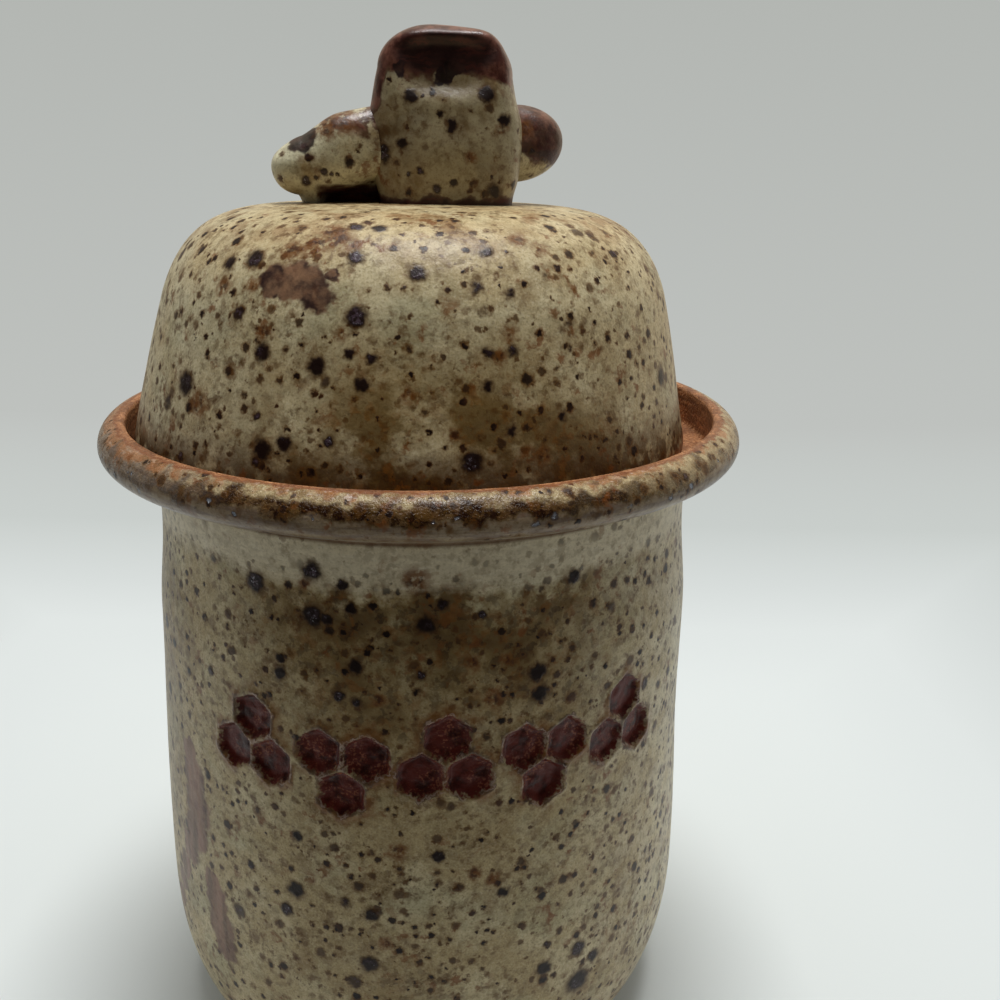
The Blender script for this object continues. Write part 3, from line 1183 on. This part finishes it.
def jar_glaze():
    """Reduction-fired stoneware glaze on the jar: milky in the hollow under the lip, thin and brown on the
    shoulder below that, rusty where it ran off the roll, and pooled dark red over the stamps' floors.
    """
    clay = Clay("speckled_stoneware_glaze_jar", 0.0)
    tree, place, stirred = clay.tree, clay.place, clay.stirred
    amber, clots, creamy, burnt, toasted, cloudy = (
        patches(tree, stirred, *row)
        for row in (  # size, low, high, detail, shift
            (2.6, 0.42, 0.6, 4.0, 22.0),
            (2.3, 0.41, 0.5, 3.0, 12.0),
            (6.0, 0.34, 0.6, 4.0, 72.0),
            (1.7, 0.52, 0.59, 5.0, 33.0),
            (2.2, 0.53, 0.63, 4.0, 53.0),
            (7.0, 0.36, 0.64, 5.0, 9.0),
        )
    )
    dragged, white_lines, violet_streak, glints = (
        stretched(tree, where, ROUND_THE_POT, *row)
        for where, *row in (  # place, size, low, high, shift
            (stirred, 1.6, 0.42, 0.62, 18.0),
            (place, 1.1, 0.55, 0.68, 38.0),
            (place, 2.2, 0.42, 0.6, 28.0),
            (place, 0.5, 0.56, 0.66, 68.0),
        )
    )
    lifted = stray(tree, place, 3.3, 1.3)
    level = add(tree, "Math MULTIPLY_ADD", (lifted, 0.8, clay.z))
    ragged_z = add(tree, "Math MULTIPLY_ADD", (lifted, 4.0, clay.z))
    front = clay.near_front(middle=4.0, far=40.0, near=12.0, least=0.0)
    facing = add(tree, "Math LESS_THAN", (clay.y, 0.0))
    under_neck = add(tree, "MapRange", (ragged_z, 107.0, 99.0), **SMOOTH)
    fading = add(tree, "MapRange", (ragged_z, 100.0, 58.0, 0.78, 0.08))
    cloudy = add(tree, "MapRange", (cloudy, 0.0, 1.0, 0.55, 1.0))
    thin = overlap(tree, cloudy, front, facing, under_neck, fading)
    elsewhere = patches(tree, place, 24.0, 0.5, 0.7, shift=6.0)
    thin = add(tree, "Math MULTIPLY_ADD", (elsewhere, 0.25, thin))
    left_end = add(tree, "MapRange", (clay.x, -22.0, -44.0))
    right_end = add(tree, "MapRange", (clay.x, 22.0, 46.0))
    bald_level = add(tree, "Math ADD", (level, left_end))
    bald = between(tree, bald_level, *BALD_BAND)
    milky, violet, low_roll, rusty, pit_band = (
        between(tree, level, *band)
        for band in (MILKY_BAND, VIOLET_BAND, LOW_ROLL_BAND, RUSTY_BAND, PIT_BAND)
    )
    outside = add(tree, "Math GREATER_THAN", (clay.z, OUTSIDE_ABOVE))
    tones = (
        ((right_end, creamy, 0.6), "#ddd2b4", 0.4),
        ((thin, burnt), "#2a1206", 0.38),
        ((thin, toasted, 0.9), "#855014", 0.36),
        ((milky, 0.95), "#e6d9bc", 0.42),
        ((milky, dragged, 0.4), "#9a8a6c", 0.42),
        ((milky, white_lines, 0.5), "#f0e9d6", 0.4),
        ((violet, outside, 0.85), "#8c7862", 0.34),
        ((violet, outside, violet_streak, 0.6), "#62504a", 0.3),
        ((rusty, outside, 0.9), "#b8a47c", 0.2),
        ((rusty, outside, amber, 0.6), "#6b4a20", 0.22),
        ((low_roll, outside, 0.85), "#4e2c0c", 0.26),
        ((low_roll, outside, clots, 0.95), "#240b04", 0.26),
        ((rusty, outside, right_end, creamy, 0.7), "#b5a078", 0.22),
        ((rusty, outside, left_end, 0.75), "#9c8c7c", 0.24),
        ((rusty, outside, left_end, violet_streak, 0.7), "#553c2e", 0.3),
        ((bald, outside, 0.75), "#a2683c", 0.26),
        ((bald, outside, white_lines, 0.6), "#c0a48c", 0.22),
        ((bald, outside, front, glints, 0.8), "#ecdcd0", 0.2),
    )
    look = speckled_glaze(clay, thin, tones)
    look = lay(tree, look, ((milky, 0.5), "#d3c6a6", 0.42))
    spots, rusts, streaks = (
        on_wall(jar_section, 0.0, table) for table in (JAR_SPOTS, JAR_RUSTS, JAR_STREAKS)
    )
    look = spot_marks(clay, look, spots, rusts, ())
    dragged_down = stretched(tree, stirred, DOWN_THE_POT, 4.5, 0.3, 0.75, 48.0)
    colour = washed(tree, "#5c3a2b", (dragged_down, "#98705f"))
    away = near_marks(tree, clay.drifted, streaks)
    look = rings(tree, look, away, ((1.1, 0.85, 0.85, colour, 0.4),))
    crease = between(tree, clay.z, *CREASE_BAND)
    look = lay(tree, look, ((crease, 0.8), "#65401f", 0.4))
    look = freckles(tree, look, stirred, 2.6, 0.4, 0.75, 0.6, PIT_RINGS, 90.0, (pit_band, outside))
    look = bare_clay(clay, look, burnt_reach=0.9)

    edge = add(tree, "Attribute", out="Fac", attribute_name="comb_edge")
    edge = add(tree, "Math ADD", (edge, stray(tree, place, 0.77, 0.4)))
    stain = add(tree, "MapRange", (edge, 3.0, 0.3, 0.0, 0.85), **SMOOTH)
    floor = add(tree, "MapRange", (edge, 0.3, -0.1), **SMOOTH)
    burr, crest = between(tree, edge, *BURR_BAND), between(tree, edge, *CREST_BAND)
    crystals = add(tree, "TexVoronoi", {"Vector": place, "Scale": 3.6}, out="Color")
    sparkle = add(tree, "SeparateColor", (crystals,), out=None).outputs
    bright = add(tree, "Math GREATER_THAN", (sparkle[0], 0.74))
    fine, stained, burnt_burr, pale_crest, bright_places, dark_pools = (
        patches(tree, place, *row)
        for row in (  # size, low, high, detail, shift
            (0.35, 0.4, 0.6),
            (4.0, 0.42, 0.6, 4.0, 61.0),
            (3.0, 0.4, 0.6, 3.0, 13.0),
            (2.0, 0.45, 0.6, 3.0, 23.0),
            (5.0, 0.42, 0.6, 3.0, 4.0),
            (2.4, 0.45, 0.66, 4.0, 77.0),
        )
    )
    look = lay(
        tree,
        look,
        ((rusty, outside, fine), None, None, 0.035),
        ((stain, stained), "#7d4c18", 0.34),
        ((burr, burnt_burr, 0.85), "#57402f", 0.3),
        ((crest, pale_crest, 0.8), "#a98f80", 0.3),
        ((floor,), "#672216", 0.36, 0.0),
        ((bright, floor, bright_places, 0.75), "#9c6048", 0.24),
        ((dark_pools, floor, 0.75), "#260b08", 0.26),
        ((floor, sparkle[1]), None, None, 0.07),
    )
    return clay.finish(look)


def lid_glaze():
    """The same glaze on the lid: tan over the crown, with a purple-brown blotch on the shoulder."""
    clay = Clay("speckled_stoneware_glaze_lid", 140.0)
    tree = clay.tree
    cloudy, tan, burn, edge_places, toasted, pale = (
        patches(tree, clay.stirred, *row)
        for row in (  # size, low, high, detail, shift
            (10.0, 0.3, 0.56, 5.0, 6.0),
            (9.0, 0.3, 0.62, 4.0, 39.0),
            (6.0, 0.5, 0.68, 4.0, 19.0),
            (3.0, 0.35, 0.52, 4.0, 29.0),
            (2.2, 0.53, 0.63, 4.0, 53.0),
            (7.0, 0.34, 0.6, 4.0, 72.0),
        )
    )
    front = clay.near_front(middle=6.0, far=38.0, near=8.0, least=0.1)
    low = add(tree, "MapRange", (clay.z, 146.0, 117.0, 0.0, 0.9), **SMOOTH)
    crown = add(tree, "MapRange", (clay.z, 146.5, 153.5, 0.0, 0.8))
    edge = add(tree, "MapRange", (clay.z, 124.5, 117.5, 0.0, 0.95))
    left_side = add(tree, "MapRange", (clay.x, -16.0, -44.0, 0.0, 0.6))
    thin = overlap(tree, low, front, cloudy)
    tones = (
        ((left_side, pale), "#dcd4b2", 0.42),
        ((crown, tan, 0.5), "#d2b886", 0.42),
        ((crown, burn, 0.85), "#85592f", 0.4),
        ((edge, front, 0.55), "#5a380c", 0.4),
        ((edge, edge_places), "#401f06", 0.4),
        ((thin, toasted, 0.9), "#855014", 0.36),
    )
    look = speckled_glaze(clay, thin, tones, "#c6b286")
    marks = (on_wall(lid_section, lid_axis, table) for table in (LID_SPOTS, LID_RUSTS, LID_BLOTCHES))
    look = spot_marks(clay, look, *marks)
    return clay.finish(bare_clay(clay, look, burnt_reach=1.7))


SHALLOW = (1.0, 0.25, 1.0)  # depth counts for little in this
SHADED = 0.35  # how much thinner the knob's glaze is in its thin patches


def knob_glaze(name, iron, shaded, cream, dark, rust, blotches):
    """The knob: the same glaze, with an iron-red slip over its crest that fired dark and glossy.

    Shaded is how far the buff glaze is thin and brownish all over, and cream is how milky it is in places.
    """
    clay = Clay(f"iron_red_and_buff_glaze_{name}", 300.0)
    tree, place, stirred = clay.tree, clay.place, clay.stirred
    thin = patches(tree, stirred, 6.0, 0.46, 0.66, 4.0, 6.0)
    thin = add(tree, "MapRange", (thin, 0.0, 1.0, shaded, SHADED + shaded))
    creamy = patches(tree, stirred, 7.0, 0.3, 0.5, shift=26.0)
    look = speckled_glaze(clay, thin, (((creamy, cream), "#dfd9b6", 0.4),), crowd=0.4)
    across = add(tree, "Math SUBTRACT", (clay.x, KNOB_ROOT.x))
    height = add(tree, "Math SUBTRACT", (clay.z, KNOB_ROOT.z))
    mask, deep = iron(clay, across, height)
    tone = patches(tree, stirred, 2.8, 0.4, 0.6, 5.0, 33.0)
    tone = washed(tree, "#4a2219", (tone, "#855646"))
    fringe = between(tree, mask, *IRON_FRINGE)
    brushed = stretched(tree, stirred, ROUND_THE_POT, 1.6, 0.46, 0.64, 58.0)
    look = lay(
        tree,
        look,
        ((mask,), tone, 0.3),
        ((fringe, patches(tree, place, 2.0, 0.35, 0.6)), "#5d3f2a", 0.3),
        ((deep,), "#300e08", 0.55),
        ((deep, brushed, 0.6), "#66281a", 0.5),
    )
    # The marks are on the front, at no exact depth.
    clay.ragged = add(tree, "VectorMath MULTIPLY", (clay.ragged, SHALLOW))
    clay.drifted = add(tree, "VectorMath MULTIPLY", (clay.drifted, SHALLOW))
    placed = [
        [((KNOB_ROOT + Vector(point)) * Vector(SHALLOW), size) for point, size in marks]
        for marks in (dark, rust, blotches)
    ]
    look = spot_marks(clay, look, *placed, blotch_colours=("#1c0906", "#452820"))
    return clay.finish(look, IRON_GLAZE_IOR)


POOL_MIDDLE = (THUMB_MIDDLE[0], -5.0, THUMB_MIDDLE[1] + 0.9)
POOL_SIZE = (8.6, 4.4, 3.7)
# Where the iron starts and covers all: height, for the tab, and height that leans with x, for the lobes.
TAB_IRON = (19.5, 21.2)
LEFT_IRON = (5.2, 7.2)
RIGHT_IRON = (11.0, 12.8)


def tab_iron(clay, across, height):
    """Iron over the crest, lower down the edges than on the face, and a dark pool in the thumb's hollow."""
    tree = clay.tree
    fray = stray(tree, clay.place, 3.3, 1.6)
    left_edge = add(tree, "MapRange", (across, -8.5, -11.5, 0.0, 6.5), **SMOOTH)
    right_edge = add(tree, "MapRange", (across, 8.0, 11.0, 0.0, 2.4), **SMOOTH)
    level = height
    for lift in (left_edge, right_edge, fray):
        level = add(tree, "Math ADD", (level, lift))
    mask = add(tree, "MapRange", (level, *TAB_IRON), **SMOOTH)
    middle = tuple(KNOB_ROOT + Vector(POOL_MIDDLE))
    off = add(tree, "VectorMath SUBTRACT", (clay.true_place, middle))
    off = add(tree, "VectorMath MULTIPLY", (off, tuple(1 / size for size in POOL_SIZE)))
    off = add(tree, "VectorMath LENGTH", (off,), out="Value")
    pool = overlap(tree, add(tree, "MapRange", (off, 1.1, 0.75, 0.0, 0.92), **SMOOTH), mask)
    # A dark line where it was luted on.
    seam = add(tree, "Math MULTIPLY_ADD", (fray, 0.5, height))
    seam = add(tree, "MapRange", (seam, 1.3, 0.4, 0.0, 0.9))
    return [add(tree, "Math MAXIMUM", (share, seam)) for share in (mask, pool)]


def left_lobe_iron(clay, across, height):
    """A rusty stroke along the top of the left lobe, and soot in the gap under it."""
    tree = clay.tree
    level = add(tree, "Math MULTIPLY_ADD", (across, 0.34, height))
    stroke = add(tree, "MapRange", (level, *LEFT_IRON))
    mask = overlap(tree, stroke, patches(tree, clay.stirred, 4.0, 0.4, 0.58, 5.0, 15.0))
    deep = overlap(tree, mask, patches(tree, clay.stirred, 3.0, 0.56, 0.68, 4.0, 35.0))
    under = add(tree, "MapRange", (height, 3.0, 2.0))
    inward = add(tree, "MapRange", (across, -21.5, -19.5))
    soot = overlap(tree, under, inward)
    return [add(tree, "Math MAXIMUM", (share, soot)) for share in (mask, deep)]


def right_lobe_iron(clay, across, height):
    """Most of the right lobe is iron red, and its underside is buff."""
    tree = clay.tree
    level = add(tree, "Math ADD", (stray(tree, clay.place, 4.0, 1.9, 5.0), height))
    level = add(tree, "Math MULTIPLY_ADD", (across, 0.35, level))
    mask = add(tree, "MapRange", (level, *RIGHT_IRON, 0.0, 0.92), **SMOOTH)
    burnt = patches(tree, clay.stirred, 4.0, 0.4, 0.58, 5.0, 40.0)
    return mask, overlap(tree, mask, burnt, 0.8)


# Marks on the knob: (place from its root, size).
TAB_SPOTS = (
    ((6.9, -7, 17.2), 1.4), ((-5.2, -7, 16.6), 1.1), ((-1.8, -6.6, 17.2), 0.6), ((1.3, -7.2, 12.6), 0.9),
    ((1.3, -7.2, 11.8), 0.9), ((-0.5, -7.1, 14.0), 0.5), ((9.8, -7, 13.2), 1.0), ((-11.6, -6.3, 10.8), 1.2),
    ((-11.3, -6.4, 9.6), 1.1), ((-9.9, -7, 8.4), 1.1), ((-9.8, -7, 7.3), 1.1), ((-6.8, -7.2, 9.5), 0.9),
    ((-3.8, -7.4, 5.2), 0.6), ((-5.7, -7.2, 4.7), 0.4), ((8.0, -7.2, 4.3), 0.4), ((-1.2, -7, 2.3), 0.8),
    ((1.5, -7, 3.3), 0.6), ((8.3, -6.8, 2.3), 1.2),
)  # fmt: skip
TAB_RUSTS = (((4.4, -7.5, 7.5), 0.9), ((-9.6, -7, 3.3), 0.8), ((9.4, -7, 12.0), 1.0))
TAB_BLOTCHES = (
    ((1.0, -5, 20.2), 1.3), ((-0.6, -5, 19.6), 1.0), ((2.4, -5, 20.8), 0.9), ((-6.9, -6, 20.6), 1.0),
)  # fmt: skip
LEFT_SPOTS = (
    ((-15.5, -7.2, 6.4), 0.8), ((-19.6, -7.4, 4.8), 0.6), ((-22.6, -6.8, 3.4), 0.8),
    ((-18.4, -7.4, 4.4), 0.4),
)  # fmt: skip
LEFT_RUSTS = (((-15.4, -7.2, 7.0), 0.7), ((-18.8, -4.4, 12.0), 2.4), ((-16.0, -4.4, 12.8), 2.0))
LEFT_BLOTCHES = (((-23.4, -5.6, 9.6), 1.9), ((-21.9, -5.4, 10.6), 1.5))
RIGHT_SPOTS = (((16.6, -1.2, 7.0), 0.8), ((14.5, -2.4, 8.6), 0.7))
RIGHT_RUSTS = (((13.0, -3.0, 12.0), 1.6),)

# ---------------------------------------------------------------- the pot, piece by piece

shell_tree = turned_shell_tree()
stamp_tree = comb_stamps_tree()

jar = section_object("glazed_jar", jar_section)
glaze = jar_glaze()
shape_with(jar, shell_tree, glaze, seed=1, steady_above=119.0, wobble=1.2, oval=0.15, lean=-0.5)
shape_with(jar, stamp_tree, glaze)
settle(jar)

lid = section_object("glazed_lid", lid_section)
shape_with(
    lid,
    shell_tree,
    lid_glaze(),
    columns=300,
    axis_x=lid_axis,
    seed=2,
    steady_below=lid_base,
    wobble=0.8,
    oval=0.2,
    bulge=2.0,
)
settle(lid)

tab, left_lobe, right_lobe = make_knob()
for piece, *looks in (
    (tab, "tab", tab_iron, 0.46, 0.4, TAB_SPOTS, TAB_RUSTS, TAB_BLOTCHES),
    (left_lobe, "left", left_lobe_iron, 0.0, 1.0, LEFT_SPOTS, LEFT_RUSTS, LEFT_BLOTCHES),
    (right_lobe, "right", right_lobe_iron, 0.15, 0.6, RIGHT_SPOTS, RIGHT_RUSTS, ()),
):
    piece.data.materials.append(knob_glaze(*looks))
    settle(piece)
    for polygon in piece.data.polygons:
        polygon.use_smooth = True

for piece, node, body, slot in (
    (jar, "jar", "jar", "speckled_glaze"),
    (lid, "lid", "lid", "speckled_glaze"),
    (tab, "knob_tab", "lid", "iron_glaze"),
    (left_lobe, "knob_left_lobe", "lid", "iron_glaze"),
    (right_lobe, "knob_right_lobe", "lid", "iron_glaze"),
):
    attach(piece, body)
    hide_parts(node)
